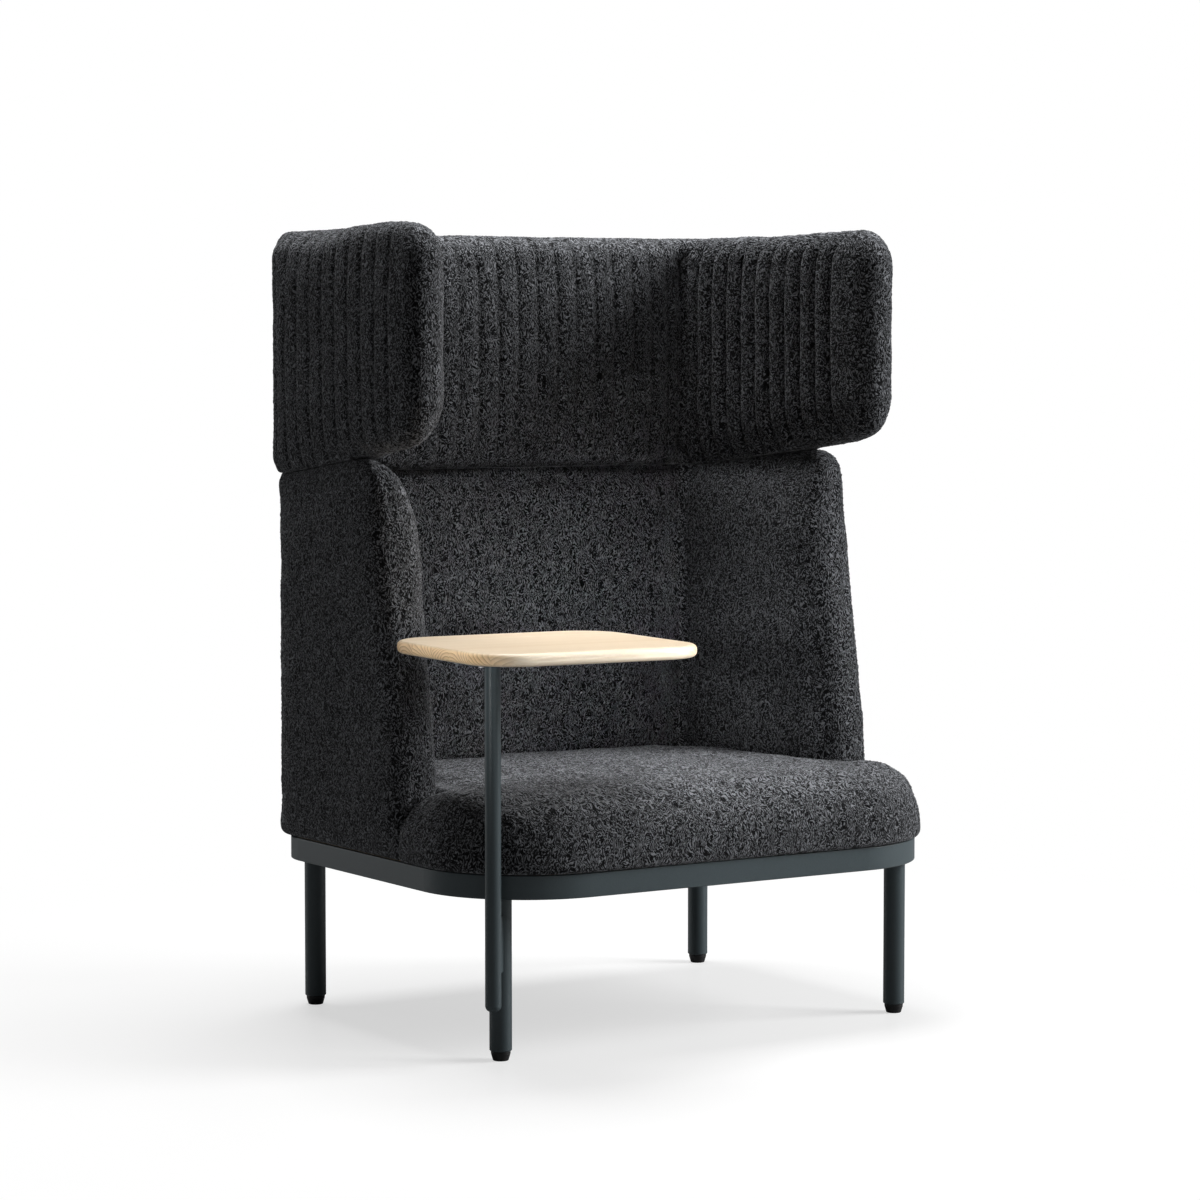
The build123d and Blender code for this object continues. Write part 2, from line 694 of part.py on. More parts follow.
with BuildPart() as hood:
    hood_plan = wrap_plan(
        hood_half_width, hood_rear, hood_rear_radius, wing_tip_y - beyond,
        wing_inner_front_x + wing_taper * beyond, wing_inner_rear_x,
        hood_inner_rear, hood_inner_radius, hood_bottom,
    )
    extrude(hood_plan, amount=hood_height)
    with BuildSketch(Plane.YZ):
        with BuildLine():
            FilletPolyline(
                (wing_tip_y, hood_bottom + wing_slope * (top_bend_y - wing_tip_y)),
                (wing_tip_y, hood_top),
                (hood_rear + beyond, hood_top),
                (hood_rear + beyond, hood_bottom),
                (top_bend_y, hood_bottom),
                radius=[wing_bottom_radius, wing_top_radius, 0, 0, top_bend_radius],
                close=True,
            )
        make_face()
    extrude(amount=hood_half_width + beyond, both=True, mode=Mode.INTERSECT)
    outer_rim = side_rim(hood.part, wing_tip_y, hood_half_width - 1, hood_half_width + 1)
    fillet(outer_rim, radius=hood_edge_radius)
    inner_rim = side_rim(hood.part, wing_tip_y, 0, hood_half_width - hood_edge_radius - 1)
    fillet(inner_rim, radius=hood_inner_edge_radius)
    with BuildSketch(Plane.XY.offset(hood_bottom)):
        with Locations(*channel_places, *outer_places):
            Circle(channel_radius)
    extrude(amount=hood_height, mode=Mode.SUBTRACT)
    # Pockets for the boards and the stays
    hood_pocket = back_board_plan(wing_board_x, soft_clearance, hood_board_bottom - soft_clearance)
    extrude(hood_pocket, amount=hood_board_top - hood_board_bottom + 2 * soft_clearance, mode=Mode.SUBTRACT)
    for sign in (-1, 1):
        wing_pocket = wing_board_profile(soft_clearance, sign * wing_board_mid_x)
        extrude(wing_pocket, amount=board_thickness / 2 + soft_clearance, both=True, mode=Mode.SUBTRACT)
    stay_pocket = stay_profile(soft_clearance, hood_bottom, stay_top)
    extrude(stay_pocket, amount=-stay_pocket_depth, mode=Mode.SUBTRACT)
finish(hood.part, "hood")

# Hood back board: holes for the wing screws in its ends and for the stay bolts
wing_board_inner_x = wing_board_x - board_thickness
with BuildPart() as hood_board:
    board = back_board_plan(wing_board_inner_x, 0, hood_board_bottom)
    extrude(board, amount=hood_board_top - hood_board_bottom)
    for sign in (-1, 1):
        with BuildSketch(Plane.YZ.offset(sign * wing_board_inner_x)):
            with Locations(*wing_screw_places):
                Circle(screw_diameter / 2 + hole_clearance)
        depth = screw_length - board_thickness + hole_clearance
        extrude(amount=-sign * depth, mode=Mode.SUBTRACT)
    with BuildSketch(Plane.XZ.offset(-board_rear_y)):
        with Locations(*upper_stay_bolts):
            Circle(stay_bolt_diameter / 2 + hole_clearance)
    extrude(amount=stay_bolt_bite + hole_clearance, mode=Mode.SUBTRACT)
finish(hood_board.part, "hood_board")

# Wing boards and their screws
for side, sign in sides.items():
    with BuildPart() as wing_board:
        profile = wing_board_profile(0, sign * wing_board_mid_x)
        extrude(profile, amount=board_thickness / 2, both=True)
        with BuildSketch(Plane.YZ.offset(sign * wing_board_x)):
            with Locations(*wing_screw_places):
                Circle(screw_diameter / 2 + hole_clearance)
        extrude(amount=-sign * board_thickness, mode=Mode.SUBTRACT)
        with BuildSketch(Plane.YZ.offset(sign * wing_board_x)):
            with Locations(*wing_screw_places):
                Circle(screw_head_diameter / 2 + hole_clearance)
        extrude(amount=-sign * screw_head_height, mode=Mode.SUBTRACT)
    finish(wing_board.part, f"wing_board_{side}")

with BuildPart() as wing_screws:
    for sign in (-1, 1):
        with BuildSketch(Plane.YZ.offset(sign * wing_board_x)):
            with Locations(*wing_screw_places):
                Circle(screw_head_diameter / 2)
        extrude(amount=-sign * screw_head_height)
        with BuildSketch(Plane.YZ.offset(sign * wing_board_x)):
            with Locations(*wing_screw_places):
                Circle(screw_diameter / 2)
        extrude(amount=-sign * screw_length)
finish(wing_screws.part, "wing_screws")

# Hood stays: steel straps up the back, bolted to both back boards
for side, sign in sides.items():
    bolts = [place for place in lower_stay_bolts + upper_stay_bolts if place[0] * sign > 0]
    with BuildPart() as hood_stay:
        with BuildSketch(Plane.XZ.offset(-board_rear_y)):
            with Locations((sign * stay_spread, (stay_bottom + stay_top) / 2)):
                Rectangle(stay_width, stay_top - stay_bottom)
            with Locations(*bolts):
                Circle(stay_bolt_diameter / 2 + hole_clearance, mode=Mode.SUBTRACT)
        extrude(amount=-stay_thickness)
    finish(hood_stay.part, f"hood_stay_{side}")

with BuildPart() as stay_bolts:
    with BuildSketch(Plane.XZ.offset(-board_rear_y - stay_thickness)):
        with Locations(*lower_stay_bolts, *upper_stay_bolts):
            Circle(stay_bolt_head_diameter / 2)
    extrude(amount=-stay_bolt_head_height)
    with BuildSketch(Plane.XZ.offset(-board_rear_y - stay_thickness)):
        with Locations(*lower_stay_bolts, *upper_stay_bolts):
            Circle(stay_bolt_diameter / 2)
    extrude(amount=stay_thickness + stay_bolt_bite)
finish(stay_bolts.part, "stay_bolts")

# Table post: tube with a domed plug in its lower end
post_radius = post_diameter / 2
post_bore = post_radius - post_wall
post_foot = post_bottom + post_dome_height
with BuildPart() as table_post:
    with BuildSketch(Plane.XY.offset(post_foot)):
        with Locations((post_x, post_y)):
            Circle(post_radius)
            Circle(post_bore, mode=Mode.SUBTRACT)
    extrude(amount=post_top - post_foot)
finish(table_post.part, "table_post")

with BuildPart() as post_end_cap:
    with BuildSketch(Plane.XY.offset(post_bottom)):
        with Locations((post_x, post_y)):
            Circle(post_radius)
    extrude(amount=post_dome_height)
    fillet(post_end_cap.faces().sort_by(Axis.Z)[0].edges(), radius=post_dome_radius)
    with BuildSketch(Plane.XY.offset(post_foot)):
        with Locations((post_x, post_y)):
            Circle(post_bore - hole_clearance)
    extrude(amount=post_spigot_length)
finish(post_end_cap.part, "post_end_cap")

# Post bracket: web with a saddle on the leg and one on the post
leg_to_post = Plane(
    origin=(-front_leg_x, front_leg_y, bracket_bottom),
    x_dir=(post_x + front_leg_x, post_y - front_leg_y, 0),
    z_dir=(0, 0, 1),
)
with BuildPart() as post_bracket:
    with BuildSketch(leg_to_post):
        with Locations((post_reach / 2, 0)):
            Rectangle(post_reach, bracket_thickness)
    extrude(amount=bracket_height)
    long_edges = post_bracket.edges().filter_by(Axis((0, 0, 0), leg_to_post.x_dir))
    fillet(long_edges, radius=bracket_corner_radius)
    with BuildSketch(leg_to_post):
        Circle(leg_radius + weld_gap)
        with Locations((post_reach, 0)):
            Circle(post_radius + weld_gap)
    extrude(amount=bracket_height, mode=Mode.SUBTRACT)
finish(post_bracket.part, "post_bracket")

# Bushes in the post: a flanged one at the top and a plain one below
bush_radius = post_bore - running_clearance
bush_bore = spindle_diameter / 2 + running_clearance
with BuildPart() as upper_bush:
    with BuildSketch(Plane.XY.offset(post_top - bush_length)):
        with Locations((post_x, post_y)):
            Circle(bush_radius)
    extrude(amount=bush_length)
    with BuildSketch(Plane.XY.offset(post_top)):
        with Locations((post_x, post_y)):
            Circle(post_radius)
    extrude(amount=bush_flange)
    with BuildSketch(Plane.XY.offset(post_top - bush_length)):
        with Locations((post_x, post_y)):
            Circle(bush_bore)
    extrude(amount=bush_length + bush_flange, mode=Mode.SUBTRACT)
finish(upper_bush.part, "upper_bush")

spindle_bottom = table_plate_bottom - spindle_length
with BuildPart() as lower_bush:
    with BuildSketch(Plane.XY.offset(spindle_bottom + spindle_overrun)):
        with Locations((post_x, post_y)):
            Circle(bush_radius)
            Circle(bush_bore, mode=Mode.SUBTRACT)
    extrude(amount=bush_length)
finish(lower_bush.part, "lower_bush")

# Table spindle, plate, screws and top, turned about the post
table_plane = Plane(
    origin=(post_x, post_y, 0),
    x_dir=(cos(radians(table_turn)), sin(radians(table_turn)), 0),
    z_dir=(0, 0, 1),
)
with BuildPart() as table_spindle:
    with BuildSketch(table_plane.offset(spindle_bottom)):
        Circle(spindle_diameter / 2)
    extrude(amount=spindle_length)
    chamfer(table_spindle.faces().sort_by(Axis.Z)[0].edges(), length=spindle_chamfer)
finish(table_spindle.part, "table_spindle")

with BuildPart() as table_plate:
    with BuildSketch(table_plane.offset(table_plate_bottom)):
        RectangleRounded(plate_side, plate_side, plate_corner_radius)
        with GridLocations(table_screw_spacing, table_screw_spacing, 2, 2):
            Circle(table_screw_diameter / 2 + hole_clearance, mode=Mode.SUBTRACT)
    extrude(amount=table_plate_thickness)
finish(table_plate.part, "table_plate")

with BuildPart() as table_screws:
    with BuildSketch(table_plane.offset(table_plate_bottom)):
        with GridLocations(table_screw_spacing, table_screw_spacing, 2, 2):
            Circle(table_screw_head_diameter / 2)
    extrude(amount=-table_screw_head_height)
    with BuildSketch(table_plane.offset(table_plate_bottom)):
        with GridLocations(table_screw_spacing, table_screw_spacing, 2, 2):
            Circle(table_screw_diameter / 2)
    extrude(amount=table_plate_thickness + table_screw_bite)
finish(table_screws.part, "table_screws")

with BuildPart() as table_top:
    with BuildSketch(table_plane.offset(table_bottom)):
        with Locations((table_length / 2 - table_inset_x, table_depth / 2 - table_inset_y)):
            RectangleRounded(table_length, table_depth, table_corner_radius)
    extrude(amount=table_thickness)
    fillet(table_top.faces().filter_by(Axis.Z).edges(), radius=table_edge_radius)
    with BuildSketch(table_plane.offset(table_bottom)):
        with GridLocations(table_screw_spacing, table_screw_spacing, 2, 2):
            Circle(table_screw_diameter / 2 + hole_clearance)
    extrude(amount=table_screw_bite + hole_clearance, mode=Mode.SUBTRACT)
finish(table_top.part, "table_top")
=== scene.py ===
import json
from math import pi, radians, tan

import bpy
import numpy as np
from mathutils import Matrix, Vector


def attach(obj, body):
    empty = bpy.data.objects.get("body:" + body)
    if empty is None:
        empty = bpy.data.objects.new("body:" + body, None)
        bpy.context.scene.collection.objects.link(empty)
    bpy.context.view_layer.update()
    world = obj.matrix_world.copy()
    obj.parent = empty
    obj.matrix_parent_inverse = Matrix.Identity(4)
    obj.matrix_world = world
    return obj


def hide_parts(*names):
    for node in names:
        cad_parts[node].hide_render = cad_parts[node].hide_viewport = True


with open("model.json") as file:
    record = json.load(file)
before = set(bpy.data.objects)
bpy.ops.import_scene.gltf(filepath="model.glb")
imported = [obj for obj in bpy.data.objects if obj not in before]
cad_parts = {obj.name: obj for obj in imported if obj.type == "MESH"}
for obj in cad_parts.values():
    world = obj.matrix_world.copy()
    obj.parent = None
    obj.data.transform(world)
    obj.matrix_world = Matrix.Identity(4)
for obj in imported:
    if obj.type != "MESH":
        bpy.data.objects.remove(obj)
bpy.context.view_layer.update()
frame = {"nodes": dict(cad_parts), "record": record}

scene = bpy.context.scene


# Bench tools. Lengths are in metres. The chair faces -Y, and x is 0 on its centre plane.

def choose(*objects):
    """Select these objects and no others, with the last one active."""
    bpy.ops.object.select_all(action="DESELECT")
    for item in objects:
        item.select_set(True)
    bpy.context.view_layer.objects.active = objects[-1]


def use_modifier(item, kind, **settings):
    """Add a modifier with these settings and apply it."""
    modifier = item.modifiers.new(kind.lower(), kind)
    for name, value in settings.items():
        setattr(modifier, name, value)
    choose(item)
    bpy.ops.object.modifier_apply(modifier=modifier.name)


def rows_of(item, what):
    """A value of each of the item's points, as rows of x, y and z."""
    flat = np.empty(len(item.data.vertices) * 3, np.float32)
    item.data.vertices.foreach_get(what, flat)
    return flat.reshape(-1, 3).astype(float)


def points_of(item):
    """The places of the item's points."""
    return rows_of(item, "co")


def normals_of(item):
    """The outward direction at each of the item's points."""
    return rows_of(item, "normal")


def set_points(item, points):
    """Move the item's points to these rows of x, y and z."""
    item.data.vertices.foreach_set("co", points.astype(np.float32).ravel())
    item.data.update()


def ramp(value, start, end):
    """A smooth step from 0 at start to 1 at end."""
    share = np.clip((value - start) / (end - start), 0, 1)
    return share * share * (3 - 2 * share)


def straight_line(value, start, first, end, last):
    """The straight line that is first at start and last at end."""
    return first + (last - first) * (value - start) / (end - start)


def hollow(distance, reach):
    """A soft hollow: 1 at no distance, and next to nothing at twice the reach."""
    return np.exp(-(distance / reach) ** 2)


# Floor, camera and light

floor_size = 60.0
camera_place = (-3.3240, -5.1535, 1.1124)
camera_down = 4.01
camera_turn = -32.75
camera_lens = 111.25
camera_sensor = 36.0
picture_gamma = 0.9
fill_strength = 0.12
wall_strength = 1.0

bpy.ops.object.select_all(action="DESELECT")
bpy.ops.mesh.primitive_plane_add(size=floor_size)
floor = bpy.context.object
floor.name = "floor"

camera_data = bpy.data.cameras.new("camera")
camera_data.lens = camera_lens
camera_data.sensor_width = camera_sensor
camera = bpy.data.objects.new("camera", camera_data)
camera.location = camera_place
camera.rotation_euler = (radians(90 - camera_down), 0, radians(camera_turn))
scene.collection.objects.link(camera)
scene.camera = camera
scene.view_settings.view_transform = "Standard"
scene.view_settings.gamma = picture_gamma

# The camera sees a white wall, and the object only a dim fill light
world = bpy.data.worlds.new("studio")
world.use_nodes = True
tree = world.node_tree
fill_light = tree.nodes["Background"]
fill_light.inputs["Color"].default_value = (1, 1, 1, 1)
fill_light.inputs["Strength"].default_value = fill_strength
white_wall = tree.nodes.new("ShaderNodeBackground")
white_wall.inputs["Color"].default_value = (1, 1, 1, 1)
white_wall.inputs["Strength"].default_value = wall_strength
path = tree.nodes.new("ShaderNodeLightPath")
seen = tree.nodes.new("ShaderNodeMixShader")
tree.links.new(path.outputs["Is Camera Ray"], seen.inputs[0])
tree.links.new(fill_light.outputs[0], seen.inputs[1])
tree.links.new(white_wall.outputs[0], seen.inputs[2])
tree.links.new(seen.outputs[0], tree.nodes["World Output"].inputs["Surface"])
scene.world = world


def soft_box(name, place, aim, size, power, spread=180):
    """A square studio light that points from its place at its aim, with a grid that limits its spread."""
    data = bpy.data.lights.new(name, "AREA")
    data.size = size
    data.energy = power
    data.spread = radians(spread)
    light = bpy.data.objects.new(name, data)
    scene.collection.objects.link(light)
    light.location = place
    light.rotation_euler = (Vector(place) - Vector(aim)).to_track_quat("Z", "Y").to_euler()


soft_box("right_box", place=(3.9, -2.4, 2.75), aim=(0, 0, 0.7), size=2.4, power=360)
soft_box("top_box", place=(0.1, 0.7, 3.9), aim=(0, -0.1, 0.5), size=2.0, power=178)
soft_box("low_box", place=(-0.6, -4.2, 0.85), aim=(0.1, 0.28, 0.62), size=0.4, power=0.70, spread=11)
soft_box("table_box", place=(-3.0, -1.4, 0.9), aim=(-0.5, -0.34, 0.64), size=0.25, power=0.12, spread=9)
soft_box("rear_card", place=(-2.6, 3.6, 0.9), aim=(0, 0, 0.5), size=2.4, power=26)


# Finishes

def new_finish(name):
    """A new material with its node tree and its shader."""
    finish = bpy.data.materials.new(name)
    finish.use_nodes = True
    return finish, finish.node_tree, finish.node_tree.nodes["Principled BSDF"]


def object_pattern(tree, turn=0.0):
    """Object coordinates, turned about the upright."""
    place = tree.nodes.new("ShaderNodeTexCoord")
    mapping = tree.nodes.new("ShaderNodeMapping")
    mapping.inputs["Rotation"].default_value = (0, 0, turn)
    tree.links.new(place.outputs["Object"], mapping.inputs["Vector"])
    return mapping.outputs["Vector"]


def stretched(tree, vector, scale):
    """Coordinates scaled along each axis."""
    mapping = tree.nodes.new("ShaderNodeMapping")
    mapping.inputs["Scale"].default_value = scale
    tree.links.new(vector, mapping.inputs["Vector"])
    return mapping.outputs["Vector"]


def noise(tree, vector, scale, detail=2.0, output="Fac"):
    """A noise pattern over these coordinates."""
    pattern = tree.nodes.new("ShaderNodeTexNoise")
    pattern.inputs["Scale"].default_value = scale
    pattern.inputs["Detail"].default_value = detail
    tree.links.new(vector, pattern.inputs["Vector"])
    return pattern.outputs[output]


def split(tree, vector):
    """The three parts of a vector."""
    parts = tree.nodes.new("ShaderNodeSeparateXYZ")
    tree.links.new(vector, parts.inputs[0])
    return parts.outputs


def sums(tree, operation, *values):
    """A Math node over values and sockets."""
    node = tree.nodes.new("ShaderNodeMath")
    node.operation = operation
    for socket, value in zip(node.inputs, values):
        if isinstance(value, (int, float)):
            socket.default_value = value
        else:
            tree.links.new(value, socket)
    return node.outputs[0]


def between(tree, value, low, high, interpolation="LINEAR"):
    """How far a value lies from low to high, between 0 and 1."""
    node = tree.nodes.new("ShaderNodeMapRange")
    node.interpolation_type = interpolation
    node.inputs["From Min"].default_value = low
    node.inputs["From Max"].default_value = high
    tree.links.new(value, node.inputs["Value"])
    return node.outputs[0]


def colours(tree, value, *stops):
    """A colour ramp over a value, from stops of place and colour."""
    band = tree.nodes.new("ShaderNodeValToRGB")
    elements = band.color_ramp.elements
    while len(elements) < len(stops):
        elements.new(0.5)
    for element, (place, colour) in zip(elements, stops):
        element.position = place
        element.color = (*colour, 1)
    tree.links.new(value, band.inputs["Fac"])
    return band.outputs["Color"]


def blend_colours(tree, first, second, share=None):
    """One colour blended into another by a share, or without one, the two multiplied."""
    mix = tree.nodes.new("ShaderNodeMix")
    mix.data_type = "RGBA"
    if share is None:
        mix.blend_type = "MULTIPLY"
        mix.inputs[0].default_value = 1.0
    else:
        tree.links.new(share, mix.inputs[0])
    tree.links.new(first, mix.inputs[6])
    tree.links.new(second, mix.inputs[7])
    return mix.outputs[2]


def facing(tree, axis):
    """How squarely a surface faces along an axis, either way."""
    surface = tree.nodes.new("ShaderNodeNewGeometry")
    return sums(tree, "ABSOLUTE", split(tree, surface.outputs["Normal"])[axis])


def bump(tree, shader, height, strength, distance):
    """Raise the shader's surface by a height pattern."""
    raised = tree.nodes.new("ShaderNodeBump")
    raised.inputs["Strength"].default_value = strength
    raised.inputs["Distance"].default_value = distance
    tree.links.new(height, raised.inputs["Height"])
    tree.links.new(raised.outputs["Normal"], shader.inputs["Normal"])


# Charcoal boucle: short curled grey fibres on a near-black ground, with painted shade darkening the sewn
# creases
fibre_scale = 640.0
fibre_detail = 1.0
upright_stretch = (1, 0.48, 0.4)
level_stretch = (0.5, 0.12, 1)
# How much lighter faces that look up are painted: painted light from above
level_painted_light = 0.02
curl_scale = 45.0
curl_reach = (0.025, 0.025, 0.025)
clump_scale = 75.0

boucle, tree, shader = new_finish("charcoal_boucle")
place = object_pattern(tree)
curl = tree.nodes.new("ShaderNodeVectorMath")
curl.operation = "MULTIPLY_ADD"
curl.inputs[1].default_value = curl_reach
tree.links.new(noise(tree, place, curl_scale, 1.0, output="Color"), curl.inputs[0])
tree.links.new(place, curl.inputs[2])
curled = curl.outputs[0]
upright = noise(tree, stretched(tree, curled, upright_stretch), fibre_scale, fibre_detail)
level = noise(tree, stretched(tree, curled, level_stretch), fibre_scale, fibre_detail)
flatness = between(tree, facing(tree, "Z"), 0.55, 0.8)
laid = tree.nodes.new("ShaderNodeMix")
tree.links.new(flatness, laid.inputs[0])
tree.links.new(upright, laid.inputs[2])
tree.links.new(level, laid.inputs[3])
fibres = laid.outputs[0]
# Faces that look up are lifted to a lighter pile: painted light from above
pile = colours(
    tree, sums(tree, "MULTIPLY_ADD", flatness, level_painted_light, fibres),
    (0.44, (0.0018, 0.002, 0.0025)), (0.51, (0.011, 0.0115, 0.0135)), (0.59, (0.198, 0.205, 0.219)),
)
clumps = colours(tree, noise(tree, place, clump_scale), (0.3, (0.72, 0.72, 0.72)), (0.7, (1, 1, 1)))
# Painted shade: the pads' crease attribute darkens the colour to 0.12 of itself in the seam creases and under
# the hood's lip
crease = tree.nodes.new("ShaderNodeAttribute")
crease.attribute_name = "painted_crease_shade"
crease_shade_tint = colours(tree, crease.outputs["Fac"], (0.0, (1, 1, 1)), (1.0, (0.12, 0.12, 0.12)))
clumped = blend_colours(tree, pile, clumps)
tree.links.new(blend_colours(tree, clumped, crease_shade_tint), shader.inputs["Base Color"])
shader.inputs["Roughness"].default_value = 0.9
shader.inputs["Specular IOR Level"].default_value = 0.12
shader.inputs["Sheen Weight"].default_value = 0.22
shader.inputs["Sheen Roughness"].default_value = 0.4
shader.inputs["Sheen Tint"].default_value = (0.8, 0.81, 0.84, 1)
bump(tree, shader, fibres, 1.0, 0.003)

# Slate powder coat with a fine orange-peel skin
powder_coat, tree, shader = new_finish("slate_powder_coat")
speckle = noise(tree, object_pattern(tree), 900.0)
coat = colours(tree, speckle, (0.35, (0.046, 0.0640, 0.0715)), (0.65, (0.058, 0.0775, 0.0855)))
tree.links.new(coat, shader.inputs["Base Color"])
shader.inputs["Roughness"].default_value = 0.42
bump(tree, shader, speckle, 0.12, 0.0006)

# Pale ash: glued staves with rings that run along the table and show on its ends; the edges that face y and
# the ends are painted paler as painted light
table_turn = radians(3.5)
stave_width = 0.062
stave_shift = 0.10
ring_pitch = 0.0058
ring_wander = 0.03
heart_level = 0.57
heart_spread = 0.05

pale_ash, tree, shader = new_finish("pale_ash")
place = object_pattern(tree, table_turn)
along_table = split(tree, place)
stave = tree.nodes.new("ShaderNodeTexWhiteNoise")
stave.noise_dimensions = "1D"
tree.links.new(sums(tree, "FLOOR", sums(tree, "DIVIDE", along_table["Y"], stave_width)), stave.inputs["W"])
tints = split(tree, stave.outputs["Color"])
wander = sums(tree, "MULTIPLY", noise(tree, stretched(tree, place, (3, 14, 14)), 1.0), ring_wander)
shifted = sums(tree, "MULTIPLY_ADD", tints["X"], stave_shift, along_table["Y"])
across = sums(tree, "MODULO", sums(tree, "ADD", shifted, wander), 2 * stave_width)
from_heart = sums(tree, "ADD", across, heart_spread)
heart = sums(tree, "MULTIPLY_ADD", tints["Y"], heart_spread, heart_level)
above_heart = sums(tree, "SUBTRACT", along_table["Z"], heart)
square = sums(
    tree, "ADD", sums(tree, "MULTIPLY", from_heart, from_heart),
    sums(tree, "MULTIPLY", above_heart, above_heart),
)
rings = sums(tree, "FRACT", sums(tree, "DIVIDE", sums(tree, "SQRT", square), ring_pitch))
lines = noise(tree, stretched(tree, place, (4, 380, 380)), 1.0, 3.0)
figure = sums(tree, "MULTIPLY_ADD", rings, 0.45, sums(tree, "MULTIPLY", lines, 0.55))
long_grain = colours(
    tree, figure, (0.15, (0.66, 0.56, 0.435)), (0.5, (0.63, 0.525, 0.395)), (0.85, (0.565, 0.445, 0.31))
)
# Front and back edges painted paler than the long grain: a painted highlight
edge_painted_highlight = colours(tree, figure, (0.15, (0.94, 0.85, 0.71)), (0.85, (0.86, 0.74, 0.57)))
long_faces = blend_colours(tree, long_grain, edge_painted_highlight, between(tree, facing(tree, "Y"), 0.45, 0.95))
# End faces keep their rings but are painted far lighter than the long grain: painted light on the ends
end_grain_and_painted_light = colours(
    tree, rings, (0.0, (1.0, 0.77, 0.48)), (0.5, (0.94, 0.68, 0.40)), (1.0, (0.58, 0.38, 0.19))
)
end_tint = colours(tree, tints["X"], (0.0, (0.74, 0.70, 0.66)), (0.6, (1, 1, 1)))
stave_ends = blend_colours(tree, end_grain_and_painted_light, end_tint)
wood = blend_colours(tree, long_faces, stave_ends, between(tree, facing(tree, "X"), 0.35, 0.95))
stave_tint = colours(tree, tints["Z"], (0.0, (0.93, 0.92, 0.91)), (1.0, (1, 1, 1)))
tree.links.new(blend_colours(tree, wood, stave_tint), shader.inputs["Base Color"])
shader.inputs["Roughness"].default_value = 0.42
shader.inputs["Specular IOR Level"].default_value = 0.4
bump(tree, shader, figure, 0.06, 0.001)


def plain_finish(name, dark, light, roughness, scale, metal=0.0):
    """A quiet finish with a fine mottle between two colours."""
    finish, tree, shader = new_finish(name)
    mottle = noise(tree, object_pattern(tree), scale, 3.0)
    tree.links.new(colours(tree, mottle, (0.35, dark), (0.65, light)), shader.inputs["Base Color"])
    shader.inputs["Roughness"].default_value = roughness
    shader.inputs["Metallic"].default_value = metal
    bump(tree, shader, mottle, 0.15, 0.0005)
    return finish


finishes = {
    "frame": powder_coat,
    "table_wood": pale_ash,
    "plywood": plain_finish("birch_plywood", (0.48, 0.34, 0.2), (0.62, 0.47, 0.3), 0.7, 40.0),
    "glide": plain_finish("black_glide", (0.008, 0.008, 0.009), (0.014, 0.014, 0.015), 0.5, 600.0),
    "bush": plain_finish("dark_nylon", (0.02, 0.02, 0.022), (0.03, 0.03, 0.032), 0.5, 600.0),
    "plain_steel": plain_finish("plain_steel", (0.4, 0.4, 0.41), (0.5, 0.5, 0.5), 0.35, 300.0, 1.0),
    "felt": plain_finish("black_felt", (0.006, 0.006, 0.006), (0.018, 0.018, 0.018), 0.95, 500.0),
}
slot_of = {part["node"]: part["material_slot"] for part in frame["record"]["subparts"]}
for node_name, node_object in frame["nodes"].items():
    node_object.data.materials.clear()
    node_object.data.materials.append(finishes.get(slot_of[node_name], boucle))

# Pale floor that fades to the white of the wall
floor_glow = 0.63
fade_start = 0.5
fade_end = 1.8

floor_finish, tree, shader = new_finish("pale_floor")
place = object_pattern(tree)
floor_tone = colours(tree, noise(tree, place, 3.0), (0.3, (0.29, 0.29, 0.29)), (0.7, (0.30, 0.30, 0.30)))
tree.links.new(floor_tone, shader.inputs["Base Color"])
shader.inputs["Roughness"].default_value = 0.4
shader.inputs["Specular IOR Level"].default_value = 0.25
distance = tree.nodes.new("ShaderNodeVectorMath")
distance.operation = "LENGTH"
tree.links.new(place, distance.inputs[0])
far = between(tree, distance.outputs["Value"], fade_start, fade_end, "SMOOTHSTEP")
path = tree.nodes.new("ShaderNodeLightPath")
shader.inputs["Emission Color"].default_value = (1, 1, 1, 1)
glow = sums(tree, "MULTIPLY", path.outputs["Is Camera Ray"], floor_glow)
tree.links.new(glow, shader.inputs["Emission Strength"])
white = tree.nodes.new("ShaderNodeEmission")
fade = tree.nodes.new("ShaderNodeMixShader")
tree.links.new(sums(tree, "MULTIPLY", path.outputs["Is Camera Ray"], far), fade.inputs[0])
tree.links.new(shader.outputs[0], fade.inputs[1])
tree.links.new(white.outputs[0], fade.inputs[2])
tree.links.new(fade.outputs[0], tree.nodes["Material Output"].inputs["Surface"])
floor.data.materials.append(floor_finish)


# Upholstery: foam blocks from the soft solids, shaped, swelled as cloth and sewn

merge_distance = 0.00001
swell_frames = 9
swell_cap = 0.008
take_in = 0.001
evening_rounds = 60

nap = bpy.data.textures.new("boucle_nap", "CLOUDS")
nap.noise_scale = 0.004
nap.noise_depth = 1
pucker = bpy.data.textures.new("cover_pucker", "CLOUDS")
pucker.noise_scale = 0.07
pucker.noise_depth = 1


